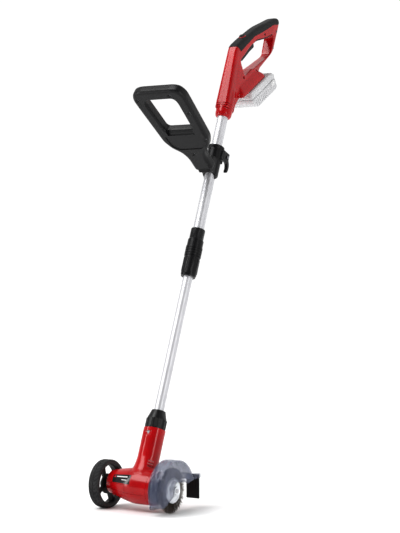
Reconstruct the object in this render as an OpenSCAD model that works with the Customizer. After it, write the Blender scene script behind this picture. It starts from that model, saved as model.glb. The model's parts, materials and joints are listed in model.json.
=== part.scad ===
// Walk-behind joint and edge cleaner: a wire-brush head with a support wheel, a telescopic
// tube, a sliding front loop handle and a rear switch handle with a removable battery.
// "Head frame": origin on the brush axle line under the tube, +X towards the brush.
// "Tube frame": the same origin, leaning back with the tube, so z runs along the tube.

/* [Stance] */
// Backward lean of the tube from vertical, degrees
lean = 22.2; // [20:0.2:25]
// Radius of the brush
ground_r = 50; // [49:0.5:51]

/* [Head] */
// Left end of the motor barrel
barrel_x0 = -80; // [-82:1:-79]
// Right end of the motor barrel
barrel_x1 = 42; // [42:1:43]
// Wall of the red housing
wall = 3; // [2.5:0.5:3]
// Radius of the neck that holds the tube
neck_r = 24.5; // [24:0.5:26]
// Height of the neck's shoulder along the tube
neck_z = 132; // [131:1:134]
// Pressure angle of the gears
gear_pa = 25; // [25:1:27]
// Radius of the support wheel
wheel_r = 53; // [52:0.5:54]
// Width of the support wheel
wheel_w = 26; // [24:1:27]
// Inner face of the support wheel
wheel_x1 = -81.5; // [-83:0.5:-81]

/* [Brush and guard] */
// Radius of the rolled brush plates
plate_r = 28; // [26:1:30]
// Outer radius of the guard's band
guard_r = 66.5; // [65:0.5:68]
// Inner face of the guard
guard_x0 = 57; // [57:0.5:58]
// Outer face of the guard
guard_x1 = 95; // [95:0.5:97]

/* [Tubes] */
// Outside radius of the lower tube
lower_r = 11; // [10.5:0.1:11]
// Outside radius of the upper tube
upper_r = 12.5; // [12.5:0.1:12.8]
// Wall of both tubes
tube_t = 1.2; // [1:0.1:1.2]
// Lower end of the twist clamp along the tube
clamp_z = 496; // [480:1:510]
// Middle of the loop handle's bracket along the tube
loop_z = 786; // [760:1:800]
// Lower end of the red handle along the tube
handle_z = 902; // [900:1:904]

/* [Handles and battery] */
// Half width of the red handle round the tube
handle_hw = 18; // [17.5:0.5:19]
// Half width of the red handle at its grip and rear leg
grip_hw = 14; // [14:0.5:15]
// Half width of the loop handle at its bar
loop_hw = 69; // [66:1:70]
// Reach of the loop handle from the tube's axis to the bar's outer edge
loop_reach = 294; // [290:1:298]
// Length of the battery case
pack_l = 128; // [126:1:132]
// Half width of the battery case
pack_hw = 37; // [36:0.5:38]
// Height of the battery case below its rails
pack_h = 45; // [44:0.5:48]

/* [Hidden] */
$fn = 64;

gap = 0.3;              // clearance between parts that move past each other
run = 0.05;             // radial clearance of a running fit

// Colours
red = [0.78, 0.02, 0.03];
black = [0.06, 0.06, 0.065];
steel = [0.7, 0.7, 0.72];
smoke = [0.45, 0.5, 0.6, 0.45];
ghost = [0.76, 0.76, 0.77];

// Gear train: motor pinion 12 to 36 teeth, then 12 to 48 teeth on the brush spindle
m1 = 0.6;
m2 = 0.7;
t_pin = 12;
t_mid = 36;
t_out = 48;
motor_z = 10;           // motor axis above the brush axle, along the tube
c1 = m1 * (t_pin + t_mid) / 2;
c2 = m2 * (t_pin + t_out) / 2;
idler_z = (c2 * c2 - c1 * c1 + motor_z * motor_z) / (2 * motor_z);
idler_y = -sqrt(c2 * c2 - idler_z * idler_z);
dir_m = atan2(idler_z - motor_z, idler_y);
dir_o = atan2(-idler_z, -idler_y);
motor_r = 18;
motor_x0 = -66;
motor_x1 = -10;

// Barrel outline: its axis drops slightly towards the brush
axle_gap = 0.8;         // between the axle's collar and the barrel's end
barrel_a = atan2(8, barrel_x1 - barrel_x0);
axis_z0 = 9;
barrel_profile = [[barrel_x0, 0], [barrel_x0, 24], [barrel_x0 + 3, 26.5], [-50, 33],
  [-22, 38.5], [-8, 39.8], [8, 39.4], [barrel_x1 - 4, 37.4], [barrel_x1, 35], [barrel_x1, 0]];

// Spindle lock, a radial bore straight down below the gears
lock_x = 6;
lock_r = 2.6;

// Positions of the shell screws in the tube frame [x, z]
shell_screws = [[-46, -18.5], [-14, -29], [-17.6, 84], [17.6, 84], [17.6, 118], [-17.6, 118]];

// Foot of the red handle, where the battery slides on, in the tube frame
foot_a = 53;
foot_y0 = 29.5;
foot_z0 = 970;
foot_l = 118;
pack_y0 = 20;

// Side outline of the red handle and its finger window, in the tube frame [y, z]
grip_line = [[-24, 1072], [-21.5, 1086], [3, 1119], [50, 1176], [114, 1236], [128, 1244]];
heel = [137, 1240];          // rearmost corner of the red handle
handle_outline = concat([[-15, handle_z], [-19.5, handle_z + 5], [-20, 930]], grip_line,
  [heel, [140, 1228], [138, 1153], [93, 1080], [98, 1063], [29.5, 969], [20, 940],
  [19.5, handle_z + 5], [15, handle_z]]);
window_outline = [[2, 1056], [27, 1032], [33, 1032], [121, 1133], [126, 1143], [124, 1186],
  [117, 1191], [86, 1162], [52, 1137], [33, 1112]];
grip_inner = [[-10, 1074], [8, 1096], [26, 1126], [60, 1164], [118, 1220]];
grip_skin = 2.2;
button_c = [8, 1125];        // centre of the lock-off button at the outer line
button_a = 50.5;             // slope of the outer line at the button

// Loop handle: its plane rises forward from the tube
loop_rise = 15;

// Depth range of the whole machine, used to put the origin below its middle
front_y = -guard_r - 1.2;
rear_y = heel[0] * cos(lean) + heel[1] * sin(lean);
mid_x = (wheel_x1 - wheel_w + guard_x1) / 2;
mid_y = (front_y + rear_y) / 2;

// ---------------------------------------------------------------- helpers
wheel_x0 = wheel_x1 - wheel_w;
rim_r = wheel_r - 6.5;
wheel_z = wheel_r - ground_r;

module head() { translate([-mid_x, -mid_y, ground_r]) children(); }

// The wheel's axle sits a little above the brush axle, so that both touch the ground
module at_wheel() { head() translate([0, 0, wheel_z]) children(); }
module tube_frame() { head() rotate([-lean, 0, 0]) children(); }
module handle_foot() {
  tube_frame() translate([0, foot_y0, foot_z0]) rotate([foot_a, 0, 0]) children();
}
module loop_plane() {
  tube_frame() translate([0, 0, loop_z - 30]) rotate([-loop_rise, 0, 0]) children();
}
module at_grip(c, a) {
  tube_frame() translate([0, c[0], c[1]]) rotate([a, 0, 0]) children();
}

module x_cyl(r, x0, x1) {
  translate([x0, 0, 0]) rotate([0, 90, 0]) rotate(37) cylinder(r = r, h = x1 - x0);
}

module x_ring(ro, ri, x0, x1) {
  difference() {
    x_cyl(ro, x0, x1);
    x_cyl(ri, x0 - 1, x1 + 1);
  }
}

module z_ring(ro, ri, z0, z1) {
  translate([0, 0, z0]) difference() {
    cylinder(r = ro, h = z1 - z0);
    translate([0, 0, -1]) cylinder(r = ri, h = z1 - z0 + 2);
  }
}

// Extrudes a [y, z] outline along x
module x_slab(points, x0, x1) {
  translate([x0, 0, 0]) rotate([90, 0, 90]) linear_extrude(x1 - x0) polygon(points);
}

module block(a, b) { translate(a) cube(b - a); }

// Screw along +y with its head at the low end
module y_screw(r, l, head_r, head_h) {
  rotate([-90, 0, 0]) {
    cylinder(r = r, h = l);
    difference() {
      cylinder(r = head_r, h = head_h);
      translate([0, 0, -1]) cylinder(r = r * 0.7, h = 1 + head_h * 0.6, $fn = 6);
    }
  }
}

// Involute gear outline with a tooth centred on the first axis
function inv_deg(r, rb) = let (a = acos(min(1, rb / r))) tan(a) * 180 / PI - a;
function flank(r, rp, rb, half) = half + inv_deg(rp, rb) - inv_deg(max(r, rb), rb);
function gear_points(t, m) =
  let (rp = t * m / 2, rb = rp * cos(gear_pa), ra = rp + 0.9 * m, rf = rp - 1.2 * m,
    half = 90 / t - 3.6 * m / (rp * 2), rs = [max(rf, 0.1), max(rb, rf + 0.1), rp, (rp + ra) / 2, ra])
  [for (i = [0:t - 1]) each concat(
    [for (r = rs) let (a = i * 360 / t - flank(r, rp, rb, half)) [r * cos(a), r * sin(a)]],
    [for (k = [4:-1:0]) let (r = rs[k], a = i * 360 / t + flank(r, rp, rb, half))
      [r * cos(a), r * sin(a)]])];

module x_gear(t, m, turn, x0, x1) {
  translate([x0, 0, 0]) rotate([90, 0, 90]) rotate(turn)
    linear_extrude(x1 - x0) polygon(gear_points(t, m));
}

module at_motor() { tube_frame() translate([0, 0, motor_z]) children(); }
module at_idler() { tube_frame() translate([0, idler_y, idler_z]) children(); }

// ---------------------------------------------------------------- red head housing
module barrel(shrink = 0, cut = 0) {
  translate([barrel_x0, 0, axis_z0]) rotate([0, barrel_a, 0]) translate([-barrel_x0, 0, 0])
    rotate([90, 0, 90]) rotate(37) rotate_extrude($fn = 96)
      polygon([for (p = barrel_profile) [max(p[1] - shrink, 0),
        min(max(p[0], barrel_x0 + cut), barrel_x1 + 4)]]);
}

module head_solid() {
  intersection() {
    barrel();
    block([barrel_x0 - 5, -50, -50], [barrel_x1, 50, 60]);
  }
  rotate(37) {
    translate([0, 0, 20]) cylinder(r = neck_r, h = neck_z - 20);
    translate([0, 0, 30]) cylinder(r1 = 33, r2 = neck_r, h = 32);
    cylinder(r = 19.4, h = neck_z + 20);
  }
}

module motor_bay() {
  intersection() {
    barrel(wall);
    block([-68, -50, -50], [22, 50, 60]);
  }
}

// Screw pillars, and on the rear shell the pillar round the spindle-lock bore
module head_pillars(side) {
  intersection() {
    union() {
      for (p = [shell_screws[0], shell_screws[1]]) {
        translate([p[0], side > 0 ? 0 : -50, p[1]]) rotate([-90, 0, 0]) cylinder(r = 4.2, h = 50);
      }
      if (side > 0) rotate([lean, 0, 0]) translate([lock_x, 0, -45]) cylinder(r = 4.8, h = 31);
    }
    barrel(wall / 2);
  }
}

module shell_holes(side) {
  for (p = shell_screws) translate([p[0], 0, p[1]]) rotate([-90, 0, 0]) {
    translate([0, 0, -14]) cylinder(r = 1.6, h = 70);
    translate([0, 0, 9]) cylinder(r = 3.4, h = 50);
  }
  if (side > 0) rotate([lean, 0, 0]) translate([lock_x, 0, -60]) cylinder(r = lock_r, h = 50);
  else {
    // cooling slots at the foot of the neck, and the recess of the tube's retaining screw
    for (k = [0:2]) {
      rotate([0, 0, 50]) translate([0, -33, 44 + 7 * k]) cube([13, 26, 3], center = true);
    }
    translate([0, -neck_r + 1.5, 121]) cube([9, 5, 15], center = true);
    translate([0, -neck_r - 1, 121]) rotate([-90, 0, 0]) cylinder(r = 2, h = neck_r - 4);
  }
}

module head_shell(side) {
  tube_frame() difference() {
    union() {
      difference() {
        intersection() {
          head_solid();
          translate([-100, side > 0 ? 0 : -60, -60]) cube([200, 60, 260]);
        }
        motor_bay();
        x_cyl(33.2, 21, barrel_x1 - 4);
        x_cyl(31.2, barrel_x1 - 5, barrel_x1 + 1);
        rotate(37) cylinder(r = neck_r - wall, h = 70);
        rotate(37) cylinder(r = lower_r, h = neck_z + 30);
        rotate([lean, 0, 0]) translate([0, 0, wheel_z]) x_cyl(5, barrel_x0 - 1, -60);
      }
      head_pillars(side);
    }
    shell_holes(side);
  }
}

module head_shell_front() { color(red) head_shell(-1); }
module head_shell_rear() { color(red) head_shell(1); }

module label_plate() {
  color(black) tube_frame() difference() {
    intersection() {
      barrel(-0.7);
      block([-54, -50, -4], [-9, -5, 17]);
    }
    barrel(-0.02);
  }
}

module head_screws() {
  color(steel) tube_frame() {
    for (p = shell_screws) {
      translate([p[0], 9, p[1]]) mirror([0, 1, 0]) translate([0, -2.5, 0]) y_screw(1.55, 22, 3, 2.5);
    }
    translate([0, -neck_r + 2, 121]) y_screw(1.9, 9, 3.4, 2);
  }
}

// ---------------------------------------------------------------- motor and gears
module motor_can() {
  color(steel) at_motor() difference() {
    x_cyl(motor_r, motor_x0 + 8, motor_x1);
    x_cyl(motor_r - 1.5, motor_x0, motor_x1 - 2);
    x_cyl(3.2, motor_x1 - 5, motor_x1 + 1);
  }
}

module motor_end_cap() {
  color(black) at_motor() difference() {
    union() {
      x_cyl(motor_r, motor_x0 + 2, motor_x0 + 8);
      x_cyl(motor_r - 1.5, motor_x0 + 8, motor_x0 + 12);
      x_cyl(5, motor_x0, motor_x0 + 3);
    }
    x_cyl(motor_r - 4, motor_x0 + 5, motor_x0 + 13);
    x_cyl(1.5 + run, motor_x0 - 1, motor_x0 + 6);
    for (s = [-1, 1]) translate([motor_x0 + 1, 9 * s - 2, -3]) cube([6, 4, 6]);
  }
}

module rotor() {
  color(steel) at_motor() {
    x_cyl(1.5, motor_x0 + 1, 2);
    difference() {
      x_cyl(15.5, motor_x0 + 17, motor_x1 - 8);
      for (k = [0:4]) rotate([72 * k + 36, 0, 0]) {
        translate([motor_x0, 8, -1.2]) cube([60, 10, 2.4]);
      }
    }
    x_cyl(5.5, motor_x0 + 9, motor_x0 + 18);
    x_gear(t_pin, m1, dir_m, -4, 2);
  }
}

module motor_plate() {
  color(black) tube_frame() difference() {
    union() {
      translate([0, 0, motor_z]) x_cyl(motor_r + 1, motor_x1, -5);
      translate([0, idler_y, idler_z]) x_cyl(6, motor_x1, -5);
      x_cyl(9, motor_x1, -5);
    }
    translate([0, 0, motor_z]) x_cyl(4, motor_x1 - 1, 0);
    translate([0, idler_y, idler_z]) x_cyl(2, motor_x1 - 1, 0);
    x_cyl(4.6, motor_x1 - 1, 0);
  }
}

module spindle_bush() { color([0.72, 0.52, 0.25]) tube_frame() x_ring(4.6, 2.5 + run, motor_x1, -5); }

module idler_shaft() { color(steel) at_idler() x_cyl(2, motor_x1, 29); }

module idler_gear() {
  color(steel) at_idler() difference() {
    union() {
      x_gear(t_mid, m1, dir_m + 180 + 180 / t_mid, -3, 1.6);
      x_cyl(3, 0, 12);
      x_gear(t_pin, m2, dir_o, 10.4, 21.6);
    }
    x_cyl(2 + run, -5, 25);
  }
}

module output_gear() {
  color(steel) tube_frame() difference() {
    x_gear(t_out, m2, dir_o + 180 + 180 / t_out, 11, 21);
    x_cyl(5, 5, 25);
    for (k = [0:5]) rotate([60 * k, 0, 0]) translate([0, 0, 10.5]) x_cyl(2.6, 5, 25);
  }
}

module spindle() {
  color(steel) tube_frame() difference() {
    union() {
      x_cyl(2.5, motor_x1 + 1, 3);
      x_cyl(12, 2.4, 9.6);
      x_cyl(5, 9, 22);
      x_cyl(6, 22, 66);
      x_cyl(5, 66, 92);
    }
    for (k = [0:3]) rotate([lean + 90 * k, 0, 0]) {
      translate([lock_x, 0, -20]) cylinder(r = lock_r, h = 13);
    }
    for (k = [0:7]) translate([70.5 + 2.6 * k, 0, 0]) x_ring(6, 4.6, 0, 1);
  }
}

module bearing_outer_race() {
  color(steel) tube_frame() difference() {
    x_cyl(16, 25, 35);
    x_cyl(12.6, 24, 36);
    torus_x(11, 2.65, 30);
  }
}

module torus_x(r, t, x) {
  translate([x, 0, 0]) rotate([0, 90, 0]) rotate_extrude() translate([r, 0]) circle(r = t, $fn = 24);
}

module bearing_inner_race() {
  color(steel) tube_frame() difference() {
    x_cyl(9.4, 25, 35);
    x_cyl(6, 24, 36);
    torus_x(11, 2.65, 30);
  }
}

module bearing_balls() {
  color(steel) tube_frame() for (k = [0:8]) {
    rotate([40 * k, 0, 0]) translate([30, 0, 11]) sphere(r = 2.5, $fn = 24);
  }
}

module gear_nose() {
  color(black) tube_frame() difference() {
    union() {
      x_cyl(33, 22.2, barrel_x1 - 4.2);
      x_cyl(31, barrel_x1 - 5, barrel_x1);
      x_cyl(21.5, barrel_x1 - 1, 66);
    }
    x_cyl(16, 20, 35);
    x_cyl(14, 34, 39);
    x_cyl(6.6, 34, 70);
    x_cyl(11, 60, 70);
    translate([0, idler_y, idler_z]) x_cyl(2, 20, 29);
    for (k = [0:3]) rotate([lean + 45 + 90 * k, 0, 0]) translate([0, 0, 27]) x_cyl(1.5, 30, 50);
  }
}

module nose_seal() { color(black) tube_frame() x_ring(11, 6.3, 60.2, 64.5); }

// ---------------------------------------------------------------- brush
module inner_flange() {
  color(steel) head() difference() {
    union() {
      x_cyl(18, 66.4, 69);
      x_cyl(10, 65, 69);
    }
    x_cyl(6, 60, 66);
    x_cyl(5, 60, 70);
  }
}

module brush_hub() {
  color(steel) head() difference() {
    union() {
      x_cyl(14, 69, 82);
      x_cyl(plate_r, 69, 70.2);
      x_cyl(plate_r, 80.8, 82);
      x_ring(plate_r, plate_r - 1.2, 69, 71.5);
      x_ring(plate_r, plate_r - 1.2, 79.5, 82);
    }
    x_cyl(5, 60, 90);
  }
}

module brush_bristles() {
  color([0.3, 0.28, 0.26]) head() rotate([0, 90, 0]) rotate_extrude($fn = 96)
    polygon([[14, 70.2], [plate_r - 1.2, 70.2], [plate_r - 1.2, 71.5], [plate_r + 1, 71.5],
      [ground_r - 1, 69.2], [ground_r, 71], [ground_r, 80], [ground_r - 1, 81.8],
      [plate_r + 1, 79.5], [plate_r - 1.2, 79.5], [plate_r - 1.2, 80.8], [14, 80.8]]);
}

module outer_flange() {
  color(steel) head() difference() {
    union() {
      x_cyl(16, 82, 84);
      x_cyl(12, 84, 85);
    }
    x_cyl(5, 80, 90);
  }
}

module brush_nut() {
  color(steel) head() difference() {
    intersection() {
      translate([85, 0, 0]) rotate([0, 90, 0]) cylinder(r = 9.8, h = 6, $fn = 6);
      translate([85, 0, 0]) rotate([0, 90, 0]) cylinder(r1 = 12, r2 = 8.9, h = 6);
    }
    x_cyl(5, 80, 95);
  }
}

// ---------------------------------------------------------------- guard and flap
// Cheek of the guard over an arc, with the rest of the outline added point by point
function arc(r, a0, a1, n) = [for (k = [0:n]) let (a = a0 + (a1 - a0) * k / n) [r * cos(a), r * sin(a)]];
band_a0 = 17;
band_a1 = 208;

module guard() {
  color(smoke) head() difference() {
    union() {
      // inner cheek
      x_slab(concat(arc(guard_r, band_a0, band_a1, 48), [[-56, -36], [-44, -38], [-6, -37],
        [30, -22], [52, 4]]), guard_x0, guard_x0 + 2.5);
      // band over the brush
      x_slab(concat(arc(guard_r, band_a0, band_a1, 48), arc(guard_r - 2.5, band_a1, band_a0, 48)),
        guard_x0, guard_x1);
      for (x = [68, 78, 88]) {
        x_slab(concat(arc(guard_r + 1.2, band_a0 + 6, band_a1 - 6, 48),
          arc(guard_r - 1, band_a1 - 6, band_a0 + 6, 48)), x, x + 2.2);
      }
      // outer cheek, cut away round the nut
      x_slab(concat(arc(guard_r, band_a0, band_a1, 48), [[-45, -30], [-23, -21]],
        arc(20, 222, 60, 16), [[25, 18.6], [37, 11], [50, 16]]), guard_x1 - 2.5, guard_x1);
      // collar on the gearbox nose
      x_ring(31, 21.5, barrel_x1, guard_x0 + 2.5);
      // arm that carries the flap
      x_slab([[60, 17], [88, 17], [92, 20], [92, 29], [86, 30], [57, 34]], guard_x0, guard_x1);
    }
    x_cyl(21.5, 40, guard_x0 + 5);
    for (k = [0:3]) rotate([45 + 90 * k, 0, 0]) translate([0, 0, 27]) {
      x_cyl(1.8, 40, guard_x0 + 5);
      x_cyl(3.2, 50, guard_x0 + 5);
    }
    // slot for the rubber flap and its two screws
    block([guard_x0 + 3, 86, 10], [guard_x1 - 3, 89, 26]);
    for (x = flap_xs) translate([x, 80, 21]) rotate([-90, 0, 0]) cylinder(r = 1.5, h = 20);
  }
}

flap_xs = [guard_x0 + 9, guard_x1 - 9];

module guard_screws() {
  color(steel) head() for (k = [0:3]) rotate([45 + 90 * k, 0, 0]) translate([0, 0, 27]) {
    x_cyl(1.5, 32, 50);
    difference() {
      x_cyl(3, 50, 52.4);
      translate([50.8, 0, 0]) rotate([0, 90, 0]) cylinder(r = 1.6, h = 3, $fn = 6);
    }
  }
}

module flap() {
  color(black) head() difference() {
    union() {
      block([guard_x0 + 3, 86, -27], [guard_x1 - 3, 89, 26]);
      for (x = [0:3]) {
        translate([guard_x0 + 9 + 6.6 * x, 85.4, -25]) cube([1.2, 0.6, 38]);
      }
    }
    for (x = flap_xs) translate([x, 80, 21]) rotate([-90, 0, 0]) cylinder(r = 1.5, h = 20);
  }
}

module flap_screws() {
  color(steel) head() for (x = flap_xs) translate([x, 92, 21]) rotate([90, 0, 0]) {
    cylinder(r = 1.5, h = 12);
    translate([0, 0, -1.6]) cylinder(r = 2.8, h = 1.6);
  }
}

// ---------------------------------------------------------------- support wheel
module wheel_rim() {
  color(black) at_wheel() difference() {
    union() {
      x_ring(rim_r, rim_r - 3, wheel_x0 + 1, wheel_x1 - 1);
      x_cyl(rim_r - 1.5, wheel_x1 - 14, wheel_x1 - 10.5);
      x_cyl(11, wheel_x0 + 5, wheel_x1);
      for (k = [0:3]) rotate([90 * k + 25, 0, 0]) {
        block([wheel_x0 + 7, -1.5, 9], [wheel_x1 - 12, 1.5, rim_r - 2]);
      }
    }
    x_cyl(5 + run, wheel_x0, wheel_x1 + 1);
    for (k = [0:3]) rotate([90 * k + 70, 0, 0]) intersection() {
      x_ring(rim_r - 4.5, 22, wheel_x1 - 17, wheel_x1);
      x_slab([[0, 0], [60, 40], [60, -40]], wheel_x1 - 18, wheel_x1);
    }
  }
}

module wheel_tyre() {
  color(black) at_wheel() rotate([0, 90, 0]) rotate_extrude($fn = 96) polygon([
    [rim_r, wheel_x0 + 0.5], [wheel_r - 2.5, wheel_x0], [wheel_r - 0.6, wheel_x0 + 2.5],
    [wheel_r, wheel_x0 + 6], [wheel_r, wheel_x1 - 6], [wheel_r - 0.6, wheel_x1 - 2.5],
    [wheel_r - 2.5, wheel_x1], [rim_r, wheel_x1 - 0.5]]);
}

module wheel_axle() {
  color(steel) at_wheel() {
    x_cyl(5, wheel_x0 + 2, -68.2);
    x_cyl(7.5, wheel_x1 + 0.2, barrel_x0 - axle_gap);
  }
}

module wheel_cap() {
  color(black) at_wheel() difference() {
    x_cyl(8.5, wheel_x0 + 1, wheel_x0 + 4.8);
    x_cyl(5, wheel_x0 + 2, wheel_x0 + 6);
  }
}

// ---------------------------------------------------------------- tube and clamps
module union_nut() {
  color(black) tube_frame() difference() {
    union() {
      translate([0, 0, neck_z + 0.5]) cylinder(r = 22, h = 22.5);
      translate([0, 0, neck_z + 23]) cylinder(r1 = 22.2, r2 = 15.6, h = 20);
      for (k = [0:11]) rotate([0, 0, 30 * k]) {
        translate([21, 0, neck_z + 13]) cube([4, 5, 20], center = true);
      }
    }
    translate([0, 0, neck_z - 1]) cylinder(r = 19.7, h = 21.5);
    translate([0, 0, neck_z + 18]) cylinder(r = lower_r + gap, h = 40);
  }
}

lower_z0 = 72;
lower_z1 = 742;

module lower_tube() { color(steel) tube_frame() z_ring(lower_r, lower_r - tube_t, lower_z0, lower_z1); }

module coiled_cable() {
  color(black) tube_frame() z_ring(6, 3.5, 90, 735);
}

collet_z = clamp_z + 4;
seat_z = clamp_z + 49;

module lock_sleeve() {
  color(black) tube_frame() difference() {
    union() {
      translate([0, 0, clamp_z]) cylinder(r1 = 16.5, r2 = 17.5, h = 5);
      translate([0, 0, clamp_z + 5]) cylinder(r = 18, h = 44);
      for (k = [0:7]) rotate([0, 0, 45 * k]) {
        translate([17.8, 0, clamp_z + 27]) cube([1.8, 4, 34], center = true);
      }
    }
    translate([0, 0, clamp_z - 1]) cylinder(r = lower_r + gap, h = 60);
    translate([0, 0, collet_z]) cylinder(r = 14.3, h = 60);
    translate([0, 0, clamp_z + 28]) cylinder(r = 16, h = 40);
  }
}

module clamp_collet() {
  color([0.85, 0.85, 0.85]) tube_frame() difference() {
    z_ring(14, lower_r + gap, collet_z + 0.3, seat_z - 19);
    for (k = [0:2]) rotate([0, 0, 120 * k]) {
      translate([10, -1, collet_z - 1]) cube([6, 2, 18]);
    }
  }
}

module clamp_body() {
  color(black) tube_frame() difference() {
    union() {
      translate([0, 0, seat_z - 19]) cylinder(r = 15.7, h = 22);
      for (z = [seat_z + 0.4 : 6.2 : seat_z + 20]) {
        translate([0, 0, z]) cylinder(r = 19.3, h = 4.6);
      }
      translate([0, 0, seat_z + 0.4]) cylinder(r = 18.2, h = 40);
      translate([0, 0, seat_z + 40]) cylinder(r1 = 18.2, r2 = 16, h = 4);
      translate([0, 0, seat_z + 44]) cylinder(r = 16.4, h = 24, $fn = 12);
    }
    translate([0, 0, seat_z - 25]) cylinder(r = lower_r + gap, h = 60);
    translate([0, 0, seat_z + 12]) cylinder(r = upper_r, h = 80);
  }
}

upper_z1 = 985;

module upper_tube() {
  color(steel) tube_frame() z_ring(upper_r, upper_r - tube_t, seat_z + 12, upper_z1);
}

// ---------------------------------------------------------------- front loop handle
module loop_bracket() {
  color(black) tube_frame() difference() {
    union() {
      translate([0, 0, loop_z - 36]) cylinder(r = 18, h = 74);
      translate([0, 0, loop_z + 34]) cylinder(r = 20, h = 5);
      block([-13, -34, loop_z - 38], [13, -6, loop_z + 4]);
      // clamp ears on the right
      block([0, 10, loop_z + 6], [8, 28, loop_z + 32]);
      block([16.4, 2, loop_z + 6], [24, 28, loop_z + 32]);
      block([10, 2, loop_z + 6], [24, 9, loop_z + 32]);
    }
    translate([0, 0, loop_z - 50]) cylinder(r = upper_r + gap, h = 100);
    // the lower front edge follows the tube in an arch
    translate([0, -40, loop_z - 52]) rotate([0, 90, 0]) cylinder(r = 28, h = 60, center = true);
    // slot for the lever and the hole for its pin
    block([8.1, 11.9, loop_z], [16.3, 40, loop_z + 45]);
    translate([0, lever_y, lever_z]) x_cyl(2.5, -5, 40);
  }
}

loop_t = 12;

// Plan outline of the loop handle: x against reach
function loop_plan() = [[-26, 20], [-26, 70], [-34, 90], [-52, 106], [-61, 128],
  [-loop_hw + 1, 246], [-loop_hw, 270], [-loop_hw + 8, loop_reach - 6],
  [-loop_hw + 24, loop_reach], [loop_hw - 24, loop_reach], [loop_hw - 8, loop_reach - 6],
  [loop_hw, 270], [loop_hw - 1, 246], [61, 128], [52, 106], [34, 90], [26, 70], [26, 20]];
loop_window = [[-37, 164], [-41, 254], [-37, 265], [37, 265], [41, 254], [37, 164]];
loop_holes = [[-56, 268], [33, 277], [55, 218], [54, 128], [0, 82]];

module loop_shell(side) {
  color(black) loop_plane() difference() {
    mirror([0, 1, 0]) difference() {
      translate([0, 0, side > 0 ? 0 : -loop_t]) linear_extrude(loop_t) polygon(loop_plan());
      translate([0, 0, -30]) linear_extrude(60) polygon(loop_window);
      // hollow arms and panel
      translate([-33, 100, side > 0 ? -1 : -loop_t + 3]) cube([66, 52, loop_t - 2]);
      // hole for the bracket
      translate([-13.3, 10, -loop_t - 1]) cube([26.6, 29, 2 * loop_t + 2]);
      for (p = loop_holes) translate([p[0], p[1], -30]) {
        cylinder(r = 1.6, h = 39);
        if (side < 0) cylinder(r = 3.4, h = 30 - loop_t + 6);
      }
    }
    // room for the bracket and the tube behind it
    rotate([loop_rise, 0, 0]) cylinder(r = 20.6, h = 160, center = true);
  }
}

module loop_shell_top() { loop_shell(1); }
module loop_shell_bottom() { loop_shell(-1); }

module loop_screws() {
  color(steel) loop_plane() for (p = loop_holes) translate([p[0], -p[1], -loop_t + 3.4]) {
    cylinder(r = 1.55, h = 16);
    difference() {
      cylinder(r = 3.1, h = 2.4);
      translate([0, 0, -1]) cylinder(r = 1.4, h = 2.2, $fn = 6);
    }
  }
}

// Quick-release lever: a hooked finger pivoting on a pin between the ears
lever_y = 19;
lever_z = loop_z + 20;

module clamp_lever() {
  color(black) tube_frame() translate([0, lever_y, lever_z]) difference() {
    union() {
      x_cyl(6.6, 8.4, 16);
      x_slab([[-2, 6], [10, 7], [22, -1], [27, -14], [24.5, -27], [19.5, -29], [20, -19],
        [16, -9], [5, -5]], 8.4, 16);
    }
    x_cyl(2.5 + run, 0, 30);
  }
}

module lever_pin() {
  color(steel) tube_frame() translate([0, lever_y, lever_z]) {
    x_cyl(2.5, 1, 26);
    x_cyl(4, 24, 26.5);
  }
}

// ---------------------------------------------------------------- red rear handle
function inset_line(pts, d) = [for (i = [0:len(pts) - 1])
  let (p = pts[max(i - 1, 0)], q = pts[min(i + 1, len(pts) - 1)], v = q - p)
  pts[i] + d * [v[1], -v[0]] / norm(v)];

function reversed(l) = [for (i = [len(l) - 1:-1:0]) l[i]];

module grip_solid() {
  difference() {
    x_slab(concat(grip_line, reversed(grip_inner)), -grip_hw, grip_hw);
    x_slab(concat([[-10, 1060]], inset_line(grip_line, grip_skin), reversed(grip_inner)),
      -grip_hw + grip_skin, grip_hw - grip_skin);
    translate([0, button_c[0], button_c[1]]) rotate([button_a, 0, 0])
      cylinder(r = 7.6, h = 60, center = true);
  }
}

module handle_cavity() {
  // chamber behind the trigger, wire way, tube socket and button well
  x_slab([[-13, 990], [-18, 1070], [-14, 1083], [8, 1113], [36, 1148], [44, 1141], [25, 1112],
    [6, 1070], [-1, 1057], [8, 1034], [12, 990]], -10.3, 10.3);
  translate([0, 0, handle_z - 1]) cylinder(r = upper_r, h = upper_z1 - handle_z + 6);
  translate([0, 0, upper_z1]) cylinder(r = 8, h = 10);
  x_slab([[0, 1000], [20, 1020], [52, 1004], [40, 990]], -9, 9);
  x_slab([[0, 1066], [16, 1100], [50, 1141], [64, 1128], [40, 1100], [20, 1062]], -7, 7);
  translate([0, button_c[0], button_c[1]]) rotate([button_a, 0, 0])
    cylinder(r = 7.6, h = 40, center = true);
}

handle_bosses = [[131, 1208], [132, 1162], [76, 1068], [28, 1023], [82, 1172]];

// What the sides lose above the tube, so that the grip and the leg are slimmer
module waist(side) {
  mirror([side > 0 ? 0 : 1, 0, 0]) translate([0, 200, 0]) rotate([90, 0, 0]) linear_extrude(300)
    polygon([[handle_hw + 0.1, 985], [grip_hw, 1012], [grip_hw, 1300], [40, 1300], [40, 985]]);
}

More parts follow.
